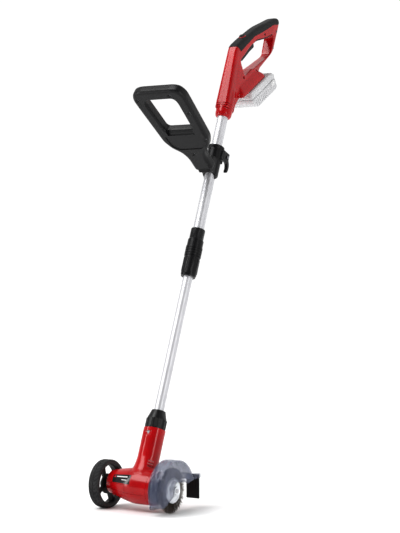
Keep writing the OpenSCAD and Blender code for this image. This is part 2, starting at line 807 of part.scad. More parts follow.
module handle_shell(side) {
  color(red) difference() {
    union() {
      tube_frame() difference() {
        x_slab(handle_outline, side > 0 ? 0 : -handle_hw, side > 0 ? handle_hw : 0);
        x_slab(window_outline, -40, 40);
        waist(side);
        grip_solid();
        handle_cavity();
        for (p = handle_bosses) translate([0, p[0], p[1]]) {
          x_cyl(1.6, -10, 14);
          x_cyl(3.4, 10, 40);
        }
      }
      // wide foot with the battery rails
      handle_foot() {
        block([side > 0 ? 14 : -30, -4, 0], [side > 0 ? 30 : -14, foot_l, 15]);
        block([side > 0 ? 0 : -14, 2, 10], [side > 0 ? 14 : 0, foot_l - 4, 15]);
      }
    }
    handle_foot() {
      block([-24, 8, 2.6], [24, foot_l + 60, 8.4]);
      block([-19, 8, -1], [19, foot_l + 60, 5]);
    }
  }
}

module handle_shell_left() { handle_shell(-1); }
module handle_shell_right() { handle_shell(1); }

module handle_grip() { color(black) tube_frame() grip_solid(); }

module handle_screws() {
  color(steel) tube_frame() for (p = handle_bosses) translate([0, p[0], p[1]]) {
    x_cyl(1.55, -9, 11);
    difference() {
      x_cyl(3.1, 10.6, 13);
      translate([11.8, 0, 0]) rotate([0, 90, 0]) cylinder(r = 1.4, h = 3, $fn = 6);
    }
  }
}

module trigger() {
  color(black) tube_frame() x_slab([[6, 1067], [13, 1061.5], [20.5, 1063.5], [43, 1103],
    [58, 1124], [53, 1131], [37, 1113], [24.7, 1100], [19.7, 1091], [13.6, 1080]], -6.5, 6.5);
}

module switch_module() {
  color(black) at_grip([1, 1083], 60.6) difference() {
    block([-10, -12, -8], [10, 18, 8]);
    translate([0, 4, -8]) cube([6, 6, 4], center = true);
  }
}

module lock_off_button() {
  color(black) at_grip(button_c, button_a) {
    translate([0, 0, -6]) cylinder(r = 7.2, h = 10.5);
    for (k = [-1:1]) translate([-5, 3 * k - 0.4, 4]) cube([10, 0.8, 1]);
  }
}

module terminal_block() {
  color(black) handle_foot() {
    block([-15, 8, 2.8], [15, 18, 8.2]);
    for (x = [-10, -3.3, 3.3, 10]) block([x - 0.4, 18, 3.6], [x + 0.4, 30, 7.4]);
  }
}

// ---------------------------------------------------------------- battery
pack_split = -18;
pack_y1 = pack_y0 + pack_l;

module pack_button_room(s) {
  translate([s * (pack_hw - 2), pack_y0 + 110, -24]) cube([12, 16.6, 12.6], center = true);
}

module pack_case_top() {
  color(ghost) handle_foot() difference() {
    union() {
      x_slab([[pack_y0, -12], [pack_y0 + 6, -gap], [pack_y1 - 8, -gap], [pack_y1, -8],
        [pack_y1, pack_split], [pack_y0, pack_split]], -pack_hw, pack_hw);
      block([-18.6, pack_y0, -1], [18.6, 108, 3.2]);
      block([-23.6, pack_y0, 3], [23.6, 108, 8]);
    }
    block([-33, pack_y0 + 4, pack_split - 1], [33, pack_y0 + 102, -3.5]);
    for (x = [-10, -3.3, 3.3, 10]) block([x - 1, pack_y0 - 1, 3.3], [x + 1, pack_y0 + 12, 7.7]);
    for (s = [-1, 1]) pack_button_room(s);
  }
}

module pack_case_bottom() {
  color(ghost) handle_foot() difference() {
    x_slab([[pack_y0, pack_split], [pack_y1, pack_split], [pack_y1, -pack_h + 6],
      [pack_y1 - 6, -pack_h], [pack_y0 + 20, -pack_h], [pack_y0, -pack_h + 16]], -pack_hw, pack_hw);
    block([-33, pack_y0 + 4, -26], [33, pack_y0 + 102, pack_split + 1]);
    block([-33, pack_y0 + 22, -pack_h + 3], [33, pack_y0 + 102, pack_split + 1]);
    for (s = [-1, 1]) pack_button_room(s);
  }
}

module pack_cells() {
  color([0.2, 0.45, 0.6]) handle_foot() {
    for (i = [0:4]) translate([0, pack_y0 + 13.6 + 19.2 * i, -13.2]) x_cyl(9.2, -32.5, 32.5);
    for (i = [0:3]) translate([0, pack_y0 + 32.8 + 19.2 * i, -32.4]) x_cyl(9.2, -32.5, 32.5);
  }
}

module pack_button(s) {
  color(red) handle_foot() {
    translate([s * (pack_hw - 1.4), pack_y0 + 110, -24]) cube([5, 16, 12], center = true);
    for (k = [-1:1]) translate([s * (pack_hw + 1.3), pack_y0 + 110 + 4 * k, -24]) {
      cube([0.8, 1.4, 9], center = true);
    }
  }
}

module pack_button_left() { pack_button(-1); }
module pack_button_right() { pack_button(1); }

// ---- build
head_shell_front();
head_shell_rear();
label_plate();
head_screws();
motor_can();
motor_end_cap();
rotor();
motor_plate();
spindle_bush();
idler_shaft();
idler_gear();
output_gear();
spindle();
bearing_outer_race();
bearing_inner_race();
bearing_balls();
gear_nose();
nose_seal();
inner_flange();
brush_hub();
brush_bristles();
outer_flange();
brush_nut();
guard();
guard_screws();
flap();
flap_screws();
wheel_rim();
wheel_tyre();
wheel_axle();
wheel_cap();
union_nut();
lower_tube();
coiled_cable();
lock_sleeve();
clamp_collet();
clamp_body();
upper_tube();
loop_bracket();
loop_shell_top();
loop_shell_bottom();
loop_screws();
clamp_lever();
lever_pin();
handle_shell_left();
handle_shell_right();
handle_grip();
handle_screws();
trigger();
switch_module();
lock_off_button();
terminal_block();
pack_case_top();
pack_case_bottom();
pack_cells();
pack_button_left();
pack_button_right();
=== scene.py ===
"""Visual model of a walk-behind wire-brush edge cleaner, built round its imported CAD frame."""

import math
import random

import bmesh
import bpy
from mathutils import Matrix, Vector
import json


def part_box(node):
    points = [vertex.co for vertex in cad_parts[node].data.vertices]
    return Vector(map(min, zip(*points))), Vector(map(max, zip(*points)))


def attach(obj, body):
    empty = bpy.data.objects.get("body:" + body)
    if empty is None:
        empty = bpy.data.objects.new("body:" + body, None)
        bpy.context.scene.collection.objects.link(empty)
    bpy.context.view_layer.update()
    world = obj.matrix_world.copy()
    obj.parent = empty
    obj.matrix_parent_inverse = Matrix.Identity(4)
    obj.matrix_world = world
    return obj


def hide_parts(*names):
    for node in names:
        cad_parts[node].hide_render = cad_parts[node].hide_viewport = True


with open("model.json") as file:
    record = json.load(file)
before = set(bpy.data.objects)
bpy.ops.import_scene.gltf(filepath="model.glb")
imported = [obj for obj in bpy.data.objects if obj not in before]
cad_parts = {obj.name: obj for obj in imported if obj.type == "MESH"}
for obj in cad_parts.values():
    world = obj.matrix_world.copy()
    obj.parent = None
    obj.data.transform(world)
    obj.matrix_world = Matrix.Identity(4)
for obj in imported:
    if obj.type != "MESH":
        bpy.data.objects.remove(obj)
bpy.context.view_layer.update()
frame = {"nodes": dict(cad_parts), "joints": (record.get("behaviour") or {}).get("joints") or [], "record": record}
NODES = frame["nodes"]
SLOT_OF = {s["node"]: s["material_slot"] for s in frame["record"]["subparts"]}
BODY_OF = {n: b for b, members in frame["record"]["behaviour"]["bodies"].items() for n in members}
JOINTS = {j["name"]: j for j in frame["joints"]}

# ------------------------------------------------------------------ frames, from the CAD
MM = 0.001


def middle(node):
    lo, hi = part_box(node)
    return (Vector(lo) + Vector(hi)) / 2


hub_mid = middle("brush_hub")
CROSSING = Vector((middle("lower_tube").x, hub_mid.y, hub_mid.z))   # tube axis over the axle line
slide_axis = Vector(JOINTS["telescope_slide"]["axis"])
LEAN = math.atan2(slide_axis.y, slide_axis.z)
HEAD = Matrix.Translation(CROSSING) @ Matrix.Scale(MM, 4)
WHEEL_LIFT = (middle("wheel_tyre").z - hub_mid.z) / MM
WHEEL = HEAD @ Matrix.Translation((0, 0, WHEEL_LIFT))
TUBE = Matrix.Translation(CROSSING) @ Matrix.Rotation(-LEAN, 4, "X") @ Matrix.Scale(MM, 4)
FOOT_TILT = math.radians(53)
FOOT = TUBE @ Matrix.Translation((0, 29.5, 970)) @ Matrix.Rotation(FOOT_TILT, 4, "X")
LOOP = TUBE @ Matrix.Translation((0, 0, 756)) @ Matrix.Rotation(math.radians(-15), 4, "X")


# ------------------------------------------------------------------ materials
ROUGH_SPREAD = 0.06     # how far roughness wanders either side of its value
BUMP_DEPTH = 0.0002


def new_material(name):
    mat = bpy.data.materials.new(name)
    mat.use_nodes = True
    return mat, mat.node_tree.nodes, mat.node_tree.links, mat.node_tree.nodes["Principled BSDF"]


def noise_node(nodes, links, scale, detail=4.0, stretch=None):
    coord = nodes.new("ShaderNodeTexCoord")
    tex = nodes.new("ShaderNodeTexNoise")
    tex.inputs["Scale"].default_value = scale
    tex.inputs["Detail"].default_value = detail
    if stretch:
        mapping = nodes.new("ShaderNodeMapping")
        mapping.inputs["Rotation"].default_value = (LEAN, 0, 0)
        mapping.inputs["Scale"].default_value = stretch
        links.new(coord.outputs["Object"], mapping.inputs["Vector"])
        links.new(mapping.outputs["Vector"], tex.inputs["Vector"])
    else:
        links.new(coord.outputs["Object"], tex.inputs["Vector"])
    return tex


def ramp_between(nodes, links, source, low, high):
    ramp = nodes.new("ShaderNodeValToRGB")
    ramp.color_ramp.elements[0].position = 0.3
    ramp.color_ramp.elements[0].color = (*low, 1)
    ramp.color_ramp.elements[1].position = 0.7
    ramp.color_ramp.elements[1].color = (*high, 1)
    links.new(source, ramp.inputs["Fac"])
    return ramp.outputs["Color"]


def surface(name, dark, light, rough, bump=0.1, bump_scale=1500, patch_scale=18, metallic=0.0,
            coat=0.0, stretch=None, painted_edge_highlight=None, shine=0.3):
    """A moulded, rubber or metal finish: patchy colour and roughness over a fine bump, with an optional painted
    highlight on convex edges.
    """
    mat, nodes, links, bsdf = new_material(name)
    patches = noise_node(nodes, links, patch_scale)
    colour = ramp_between(nodes, links, patches.outputs["Fac"], dark, light)
    # painted highlight: convex edges (found by Pointiness) are mixed towards a lighter colour, as if catching the
    # light
    if painted_edge_highlight:
        geometry = nodes.new("ShaderNodeNewGeometry")
        edge = nodes.new("ShaderNodeMapRange")
        edge.inputs["From Min"].default_value = 0.53
        edge.inputs["From Max"].default_value = 0.62
        links.new(geometry.outputs["Pointiness"], edge.inputs["Value"])
        mix = nodes.new("ShaderNodeMix")
        mix.data_type = "RGBA"
        mix.inputs["B"].default_value = (*painted_edge_highlight, 1)
        links.new(edge.outputs["Result"], mix.inputs["Factor"])
        links.new(colour, mix.inputs["A"])
        colour = mix.outputs["Result"]
    links.new(colour, bsdf.inputs["Base Color"])
    smudges = noise_node(nodes, links, patch_scale * 5, 6.0, stretch)
    spread = nodes.new("ShaderNodeMapRange")
    spread.inputs["To Min"].default_value = rough - ROUGH_SPREAD
    spread.inputs["To Max"].default_value = rough + ROUGH_SPREAD
    links.new(smudges.outputs["Fac"], spread.inputs["Value"])
    links.new(spread.outputs["Result"], bsdf.inputs["Roughness"])
    grain = noise_node(nodes, links, bump_scale, 3.0, stretch)
    bump_node = nodes.new("ShaderNodeBump")
    bump_node.inputs["Strength"].default_value = bump
    bump_node.inputs["Distance"].default_value = BUMP_DEPTH
    links.new(grain.outputs["Fac"], bump_node.inputs["Height"])
    links.new(bump_node.outputs["Normal"], bsdf.inputs["Normal"])
    bsdf.inputs["Metallic"].default_value = metallic
    bsdf.inputs["Specular IOR Level"].default_value = shine
    bsdf.inputs["Coat Weight"].default_value = coat
    bsdf.inputs["Coat Roughness"].default_value = 0.08
    return mat


def see_through(name, dark, light, face_on, edge_on):
    """Tinted clear plastic that looks denser where the eye meets it at a slant."""
    mat = surface(name, dark, light, 0.08, bump=0.03, bump_scale=300, coat=0.5, shine=0.5)
    nodes, links = mat.node_tree.nodes, mat.node_tree.links
    slant = nodes.new("ShaderNodeLayerWeight")
    slant.inputs["Blend"].default_value = 0.35
    reach = nodes.new("ShaderNodeMapRange")
    reach.inputs["To Min"].default_value = face_on
    reach.inputs["To Max"].default_value = edge_on
    links.new(slant.outputs["Facing"], reach.inputs["Value"])
    links.new(reach.outputs["Result"], nodes["Principled BSDF"].inputs["Alpha"])
    return mat


ALONG_TUBE = (1, 1, 0.02)
# the edge colours given to red_moulding, black_moulding, tyre_rubber and handle_texture are painted highlights on
# their convex edges
MATERIALS = {
    "red_housing": surface("red_moulding", (0.37, 0.001, 0.004), (0.46, 0.002, 0.006), 0.2,
                           bump=0.03, bump_scale=700, coat=0.25, painted_edge_highlight=(0.66, 0.012, 0.018)),
    "label_black": surface("label_gloss", (0.010, 0.010, 0.011), (0.016, 0.016, 0.017), 0.2,
                           bump=0.03, coat=0.5),
    "screw_steel": surface("screw_zinc", (0.16, 0.16, 0.17), (0.28, 0.28, 0.30), 0.35,
                           metallic=1.0),
    "motor_steel": surface("motor_steel", (0.40, 0.40, 0.42), (0.58, 0.58, 0.60), 0.35,
                           metallic=1.0),
    "black_plastic": surface("black_moulding", (0.004, 0.004, 0.005), (0.008, 0.008, 0.009), 0.34,
                             bump=0.2, bump_scale=2600, painted_edge_highlight=(0.03, 0.03, 0.03)),
    "bronze": surface("sintered_bronze", (0.40, 0.24, 0.10), (0.56, 0.36, 0.16), 0.45,
                      metallic=1.0),
    "gear_steel": surface("gear_steel", (0.42, 0.42, 0.44), (0.62, 0.62, 0.64), 0.3, metallic=1.0),
    "seal_rubber": surface("seal_rubber", (0.014, 0.014, 0.014), (0.022, 0.022, 0.022), 0.7),
    "zinc_plate": surface("bright_zinc", (0.62, 0.64, 0.67), (0.80, 0.82, 0.85), 0.26,
                          bump=0.15, bump_scale=900, patch_scale=60, metallic=0.9),
    "bristle_wire": surface("bristle_wire", (0.10, 0.088, 0.075), (0.27, 0.24, 0.21), 0.45,
                            patch_scale=500, metallic=0.7),
    "flap_rubber": surface("flap_rubber", (0.012, 0.012, 0.012), (0.022, 0.022, 0.022), 0.62,
                           bump=0.3, bump_scale=1800),
    "wheel_plastic": surface("wheel_moulding", (0.014, 0.014, 0.015), (0.024, 0.024, 0.025), 0.5,
                             bump=0.25, bump_scale=2200),
    "tyre_rubber": surface("tyre_rubber", (0.018, 0.018, 0.019), (0.040, 0.040, 0.041), 0.68,
                           bump=0.35, bump_scale=1500, patch_scale=40, painted_edge_highlight=(0.09, 0.09, 0.09)),
    "tube_aluminium": surface("tube_aluminium", (0.60, 0.60, 0.62), (0.68, 0.68, 0.70), 0.46,
                              bump=0.02, bump_scale=1400, metallic=0.7, stretch=ALONG_TUBE),
    "cable_rubber": surface("cable_rubber", (0.014, 0.014, 0.014), (0.022, 0.022, 0.022), 0.6),
    "collet_nylon": surface("collet_nylon", (0.66, 0.65, 0.60), (0.76, 0.75, 0.70), 0.5),
    "handle_black": surface("handle_texture", (0.005, 0.005, 0.006), (0.010, 0.010, 0.011), 0.36,
                            bump=0.2, bump_scale=2400, painted_edge_highlight=(0.035, 0.035, 0.035)),
    "grip_rubber": surface("grip_overmould", (0.008, 0.008, 0.009), (0.015, 0.015, 0.016), 0.55,
                           bump=0.5, bump_scale=1900),
    "button_black": surface("button_satin", (0.018, 0.018, 0.019), (0.028, 0.028, 0.029), 0.4),
    "pack_grey": surface("pack_moulding", (0.56, 0.56, 0.57), (0.63, 0.63, 0.64), 0.5,
                         bump=0.2, bump_scale=2000),
    "cell_wrap": surface("cell_wrap", (0.07, 0.22, 0.36), (0.10, 0.28, 0.44), 0.3),
    "button_grey": surface("button_pale", (0.74, 0.74, 0.74), (0.80, 0.80, 0.80), 0.45),
    "smoke_guard": see_through("smoke_polycarbonate", (0.09, 0.11, 0.18), (0.14, 0.16, 0.25), 0.2,
                               0.72),
}
SMOKE_EDGE = see_through("smoke_edge", (0.04, 0.05, 0.10), (0.07, 0.09, 0.15), 0.65, 0.9)
RED_LINE = surface("pinstripe_red", (0.45, 0.01, 0.03), (0.55, 0.02, 0.04), 0.35)
MARK = surface("label_mark", (0.60, 0.60, 0.60), (0.72, 0.72, 0.72), 0.4)

for node_name, node_object in NODES.items():
    node_object.data.materials.clear()
    node_object.data.materials.append(MATERIALS[SLOT_OF[node_name]])


# ------------------------------------------------------------------ mesh helpers, in millimetres
def join(*parts):
    out = bmesh.new()
    for part in parts:
        mesh = bpy.data.meshes.new("part")
        part.to_mesh(mesh)
        part.free()
        out.from_mesh(mesh)
        bpy.data.meshes.remove(mesh)
    return out


def loft(rings, cap=True):
    """Skins a list of closed rings of points, all of one length."""
    bm = bmesh.new()
    made = [[bm.verts.new(p) for p in ring] for ring in rings]
    n = len(made[0])
    for a, b in zip(made, made[1:]):
        for i in range(n):
            bm.faces.new((a[i], a[(i + 1) % n], b[(i + 1) % n], b[i]))
    if cap:
        bm.faces.new(list(reversed(made[0])))
        bm.faces.new(made[-1])
    bmesh.ops.recalc_face_normals(bm, faces=bm.faces)
    return bm


def lathe(profile, axis="Z", steps=96):
    """Turns (radius, height) points about Z or X; the profile is an open line, capped flat."""
    def ring(r, h):
        pts = []
        for k in range(steps):
            a = 2 * math.pi * k / steps
            c, s = r * math.cos(a), r * math.sin(a)
            pts.append((c, s, h) if axis == "Z" else (h, c, s))
        return pts
    return loft([ring(max(r, 0.01), h) for r, h in profile])


def washer(profile, axis="X", steps=96):
    """Turns a closed (radius, height) outline into a ring."""
    bm = bmesh.new()
    rings = []
    for k in range(steps):
        a = 2 * math.pi * k / steps
        c, s = math.cos(a), math.sin(a)
        rings.append([bm.verts.new((h, r * c, r * s) if axis == "X" else (r * c, r * s, h))
                      for r, h in profile])
    for k in range(steps):
        a, b = rings[k], rings[(k + 1) % steps]
        for i in range(len(a)):
            j = (i + 1) % len(a)
            bm.faces.new((a[i], a[j], b[j], b[i]))
    bmesh.ops.recalc_face_normals(bm, faces=bm.faces)
    return bm


def prism(outline, low, high, plane="YZ"):
    """Extrudes an outline: (y, z) along x, or (x, y) along z."""
    def lift(p, t):
        return (t, p[0], p[1]) if plane == "YZ" else (p[0], p[1], t)
    return loft([[lift(p, low) for p in outline], [lift(p, high) for p in outline]])


def block(a, b):
    return prism([(a[1], a[2]), (b[1], a[2]), (b[1], b[2]), (a[1], b[2])], a[0], b[0])


def transformed(bm, matrix):
    bmesh.ops.transform(bm, matrix=matrix, verts=bm.verts)
    return bm


def to_object(name, bm):
    mesh = bpy.data.meshes.new(name)
    bm.to_mesh(mesh)
    bm.free()
    obj = bpy.data.objects.new(name, mesh)
    bpy.context.scene.collection.objects.link(obj)
    return obj


def bake(obj):
    """Applies an object's modifiers."""
    bpy.context.view_layer.update()
    done = obj.evaluated_get(bpy.context.evaluated_depsgraph_get())
    mesh = bpy.data.meshes.new_from_object(done)
    obj.modifiers.clear()
    old = obj.data
    obj.data = mesh
    bpy.data.meshes.remove(old)


def cut(obj, *cutters):
    """Cuts the cutters, given as (bmesh, matrix), out of obj."""
    for bm, matrix in cutters:
        tool = to_object("cutter", transformed(bm, matrix))
        mod = obj.modifiers.new("cut", "BOOLEAN")
        mod.operation = "DIFFERENCE"
        mod.solver = "EXACT"
        mod.object = tool
        bake(obj)
        bpy.data.objects.remove(tool)


def melt(name, bm, matrix, voxel=1.2, rounds=10):
    """Fuses overlapping solids into one skin with softened edges and blended corners."""
    obj = to_object(name, transformed(bm, matrix))
    mod = obj.modifiers.new("voxels", "REMESH")
    mod.mode = "VOXEL"
    mod.voxel_size = voxel * MM
    mod = obj.modifiers.new("smooth", "SMOOTH")
    mod.factor = 0.5
    mod.iterations = rounds
    bake(obj)
    return obj


def halves(obj, matrix, normal, gap=0.12):
    """Splits a solid along a plane through matrix's origin: (the far side, the near side)."""
    origin = matrix @ Vector((0, 0, 0))
    direction = (matrix.to_3x3() @ Vector(normal)).normalized()
    made = []
    for sign in (1, -1):
        bm = bmesh.new()
        bm.from_mesh(obj.data)
        found = bmesh.ops.bisect_plane(bm, geom=bm.verts[:] + bm.edges[:] + bm.faces[:], dist=1e-7,
                                       plane_co=origin + direction * sign * gap * MM,
                                       plane_no=direction * -sign, clear_outer=True)
        edges = [e for e in found["geom_cut"] if isinstance(e, bmesh.types.BMEdge)]
        bmesh.ops.triangle_fill(bm, use_beauty=True, edges=edges, normal=direction)
        bmesh.ops.recalc_face_normals(bm, faces=bm.faces)
        made.append(to_object(obj.name + ("_a" if sign > 0 else "_b"), bm))
    bpy.data.objects.remove(obj)
    return made


def dress(obj, body, slot, stands_for=(), bevel=0.0, sharp=35, material=None):
    """Shades a piece, gives it its material, ties it to its body and hides the CAD nodes it stands for."""
    mesh = obj.data
    mesh.materials.clear()
    mesh.materials.append(material or MATERIALS[slot])
    mesh.shade_smooth()
    mesh.set_sharp_from_angle(angle=math.radians(sharp))
    if bevel:
        mod = obj.modifiers.new("edge", "BEVEL")
        mod.width = bevel * MM
        mod.segments = 3
        mod.limit_method = "ANGLE"
        mod.angle_limit = math.radians(sharp)
        mod.harden_normals = True
    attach(obj, body)
    if stands_for:
        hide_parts(*stands_for)
    return obj


def piece(name, bm, matrix, body, slot, stands_for=(), bevel=0.0, sharp=35, material=None):
    return dress(to_object(name, transformed(bm, matrix)), body, slot, stands_for, bevel, sharp,
                 material)


def softened(node, width, sharp=35):
    """A copy of a CAD node with its facets merged and its edges rounded."""
    bm = bmesh.new()
    bm.from_mesh(NODES[node].data)
    bmesh.ops.remove_doubles(bm, verts=bm.verts, dist=2e-6)
    bmesh.ops.dissolve_limit(bm, angle_limit=math.radians(0.5), verts=bm.verts, edges=bm.edges)
    obj = to_object(node + "_skin", bm)
    return dress(obj, BODY_OF[node], SLOT_OF[node], (node,), width, sharp)


def arc(radius, start, end, steps, cy=0.0, cz=0.0):
    angles = [math.radians(start + (end - start) * k / steps) for k in range(steps + 1)]
    return [(cy + radius * math.cos(a), cz + radius * math.sin(a)) for a in angles]


def filleted(outline, reach, steps=8):
    """Rounds the corners of a closed outline; reach is how far along its sides a corner starts."""
    out = []
    n = len(outline)
    for i in range(n):
        a, b, c = (Vector(outline[j % n]) for j in (i - 1, i, i + 1))
        limit = reach[i] if isinstance(reach, (list, tuple)) else reach
        p = b + (a - b).normalized() * min(limit, (a - b).length * 0.49)
        q = b + (c - b).normalized() * min(limit, (c - b).length * 0.49)
        for k in range(steps + 1):
            t = k / steps
            out.append(tuple(p * (1 - t) ** 2 + b * 2 * t * (1 - t) + q * t * t))
    return out


def offset(outline, distance):
    """Moves a closed, finely rounded outline inwards."""
    n = len(outline)
    area = sum(outline[i - 1][0] * outline[i][1] - outline[i][0] * outline[i - 1][1]
               for i in range(n))
    side = 1 if area > 0 else -1
    out = []
    for i in range(n):
        a, b, c = (Vector(outline[j % n]) for j in (i - 1, i, i + 1))
        u, v = (b - a).normalized(), (c - b).normalized()
        miter = Vector((-u.y - v.y, u.x + v.x))
        miter = miter.normalized() / max(0.5, math.sqrt(max(0.0, (1 + u.dot(v)) / 2)))
        out.append(tuple(b + miter * distance * side))
    return out


def rounded_prism(outline, half, radius, plane="YZ", steps=6, grow=False):
    """A slab of half thickness half with rounded rims; with grow its rims flare out instead."""
    def lift(p, t):
        return (t, p[0], p[1]) if plane == "YZ" else (p[0], p[1], t)
    levels = []
    for k in range(steps + 1):
        a = math.pi / 2 * (1 - k / steps)
        levels.append((half - radius + radius * math.sin(a), radius * (1 - math.cos(a))))
    rings = []
    for sign in (1, -1):
        for t, d in (levels if sign > 0 else levels[::-1]):
            rings.append([lift(p, sign * t) for p in offset(outline, -d if grow else d)])
    return loft(rings)


# ------------------------------------------------------------------ head housing
BARREL = [(0, -80), (24, -80), (26.5, -77), (33, -50), (38.5, -22), (39.8, -8), (39.4, 8),
          (37.4, 38), (35.5, 42), (0, 42)]
BARREL_AXIS = (Matrix.Translation((-80, 0, 9)) @ Matrix.Rotation(math.atan2(8, 122), 4, "Y")
               @ Matrix.Translation((80, 0, 0)))


def smooth_profile(points, per=6):
    """Catmull-Rom curve through profile points, keeping the flat ends."""
    inner = points[1:-1]
    out = [points[0]]
    for i in range(len(inner) - 1):
        p = [Vector(inner[max(i - 1, 0)]), Vector(inner[i]), Vector(inner[i + 1]),
             Vector(inner[min(i + 2, len(inner) - 1)])]
        for k in range(per):
            t = k / per
            out.append(tuple(0.5 * (2 * p[1] + (p[2] - p[0]) * t + (2 * p[0] - 5 * p[1] + 4 * p[2]
                       - p[3]) * t * t + (3 * p[1] - p[0] - 3 * p[2] + p[3]) * t ** 3)))
    return out + [inner[-1], points[-1]]


def head_housing():
    barrel = transformed(lathe(smooth_profile(BARREL), "X"), BARREL_AXIS)
    neck = lathe([(0, 10), (24.6, 10), (24.6, 140), (0, 140)])
    flare = lathe([(0, 24), (36, 24), (31, 34), (27.6, 45), (25.6, 56), (24.6, 66), (0, 66)])
    body = melt("head_housing", join(barrel, neck, flare), TUBE, 1.0, 9)
    grooves = [(washer([(37.7, -22.2), (45, -22.2), (45, -21.5), (37.7, -21.5)]),
                TUBE @ BARREL_AXIS),
               (washer([(36.2, 33), (45, 33), (45, 33.7), (36.2, 33.7)]), TUBE @ BARREL_AXIS),
               (block((-60, -60, 132.4), (60, 60, 180)), TUBE)]
    # seam lines along the front of the barrel
    for turn, end in ((196, -22), (222, 42)):
        line = block((-79, -45, -0.35), (end, -20, 0.35))
        for v in line.verts:
            if v.co.y > -21:
                v.co.y = -25.6 - 0.142 * (v.co.x + 79) if v.co.x < -40 else -37.9
        transformed(line, Matrix.Rotation(math.radians(turn - 180), 4, "X"))
        grooves.append((line, TUBE @ BARREL_AXIS))
    # cooling slots and the retaining screw's recess
    turn = Matrix.Rotation(math.radians(50), 4, "Z")
    for k in range(3):
        z = 45 + 6.2 * k
        grooves.append((block((-7.5, -40, z - 1.5), (7.5, -23.6, z + 1.5)), TUBE @ turn))
    oval = arc(5, 90, 270, 10, -9, 119) + arc(5, -90, 90, 10, 9, 119)
    recess = loft([[(p[0], y, p[1]) for p in oval] for y in (-32, -21.6)])
    grooves.append((recess, TUBE @ Matrix.Rotation(math.radians(-8), 4, "Z")))
    cut(body, *grooves)
    rear, front = halves(body, TUBE, (0, 1, 0), 0.15)
    front.name, rear.name = "head_shell_front_skin", "head_shell_rear_skin"
    drill = transformed(lathe([(0, -60), (2.6, -60), (2.6, -12), (0, -12)]),
                        Matrix.Translation((6, 0, 0)))
    holes = [(drill, HEAD)]
    for x, z in ((-46, -18.5), (-14, -29), (-17.6, 84), (17.6, 84), (17.6, 118), (-17.6, 118)):
        bore = transformed(lathe([(0, 0), (3.4, 0), (3.4, 50), (0, 50)]),
                           Matrix.Translation((x, 11.6, z)) @ Matrix.Rotation(-math.pi / 2, 4, "X"))
        holes.append((bore, TUBE))
    cut(rear, *holes)
    dress(front, "head", "red_housing", ("head_shell_front",), sharp=32)
    dress(rear, "head", "red_housing", ("head_shell_rear",), sharp=32)


head_housing()


def barrel_patch(x0, x1, a0, a1, lift, thick):
    """A plate that follows the barrel: x and angle limits, height over the surface."""
    curve = smooth_profile(BARREL)

    def radius(x):
        for (r0, h0), (r1, h1) in zip(curve, curve[1:]):
            if h0 <= x <= h1 and h1 > h0:
                return r0 + (r1 - r0) * (x - h0) / (h1 - h0)
        return 30
    rings = []
    for k in range(25):
        a = math.radians(a0 + (a1 - a0) * k / 24)
        c, s = math.cos(a), math.sin(a)
        xs = [x0 + (x1 - x0) * i / 24 for i in range(25)]
        outer = [(x, (radius(x) + lift + thick) * c, (radius(x) + lift + thick) * s) for x in xs]
        inner = [(x, (radius(x) + lift - 0.6) * c, (radius(x) + lift - 0.6) * s) for x in xs]
        rings.append(outer + inner[::-1])
    return loft(rings)


LABEL = TUBE @ BARREL_AXIS
piece("label_plate_skin", barrel_patch(-60, -9, 180 - 19, 180 + 12, 0, 0.5), LABEL, "head",
      "label_black", ("label_plate",), 0.2)
piece("label_bar_long", barrel_patch(-49, -17, 167, 171.5, 0.5, 0.08), LABEL, "head",
      "label_black", material=MARK)
piece("label_bar_short", barrel_patch(-33, -17, 178.5, 181.5, 0.5, 0.08), LABEL, "head",
      "label_black", material=MARK)
piece("label_dot", barrel_patch(-56.5, -52, 166, 173, 0.5, 0.08), LABEL, "head",
      "label_black", material=RED_LINE)

for node, width in (("gear_nose", 0.8), ("guard_screws", 0.2), ("flap_screws", 0.2),
                    ("brush_nut", 0.4), ("inner_flange", 0.4), ("outer_flange", 0.4),
                    ("wheel_cap", 0.8), ("flap", 0.4), ("union_nut", 0.7), ("lock_sleeve", 0.5),
                    ("clamp_body", 0.6), ("lever_pin", 0.3), ("pack_button_left", 0.4),
                    ("pack_button_right", 0.4), ("wheel_rim", 0.6)):
    softened(node, width)


# ------------------------------------------------------------------ brush
def brush_plates():
    """Pressed steel cups either side of the bristles, with a rolled rim and a raised centre."""
    outer = [(5, 84.0), (13, 84.0), (14.5, 83.2), (17, 82.2), (22, 82.2), (23, 82.9), (25, 82.9),
             (26, 82.2), (27.4, 82.0), (28, 81.0), (28, 79.6), (27.2, 79.6), (26.8, 80.6),
             (5, 80.6)]
    inner = [(5, 69.0), (26.6, 69.0), (27.4, 69.2), (28, 70.0), (28, 71.4), (27.2, 71.4),
             (26.8, 70.5), (5, 70.5)]
    core = [(5, 70.4), (14, 70.4), (14, 80.7), (5, 80.7)]
    piece("brush_hub_skin", join(washer(outer), washer(inner), washer(core)), HEAD, "brush",
          "zinc_plate", ("brush_hub",), 0.2)


brush_plates()


